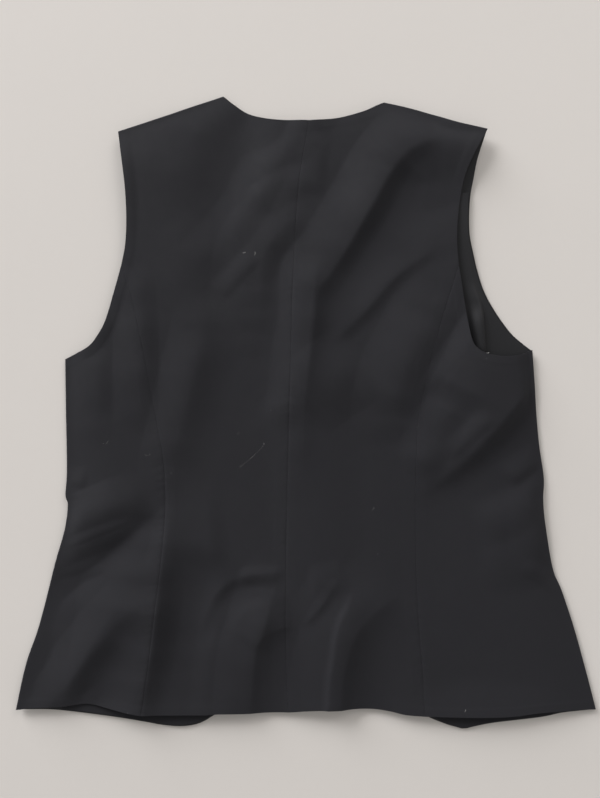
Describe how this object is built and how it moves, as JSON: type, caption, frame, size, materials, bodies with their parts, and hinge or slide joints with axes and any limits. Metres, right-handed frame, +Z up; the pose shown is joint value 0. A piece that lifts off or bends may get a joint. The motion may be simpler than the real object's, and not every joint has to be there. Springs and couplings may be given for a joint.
{
  "type": "suit waistcoat",
  "caption": "Black fitted suit waistcoat for a woman, lying flat and face down, with a panelled back, deep armholes and pointed front hems.",
  "frame": {"origin": "middle of the bounding box's underside, on the surface that the waistcoat lies on", "axes": "+X to the right as the back is looked at (the wearer's right), +Y from hem to neck, +Z up from the surface, towards the back's outer face"},
  "size_m": [0.5452, 0.5942, 0.0171],
  "materials": {
    "suiting": "matt black woven suiting with a faint twill",
    "lining": "smooth black lining with a soft sheen",
    "button": "black, satin"
  },
  "bodies": {
    "root": {"back_centre_left": "suiting", "back_centre_right": "suiting", "back_side_left": "suiting", "back_side_right": "suiting", "front_left": "suiting", "front_right": "suiting", "front_lining_right": "lining", "front_facing_left": "suiting", "front_facing_right": "suiting", "button_1": "button", "button_2": "button", "button_3": "button", "button_4": "button", "button_5": "button"}
  },
  "joints": []
}
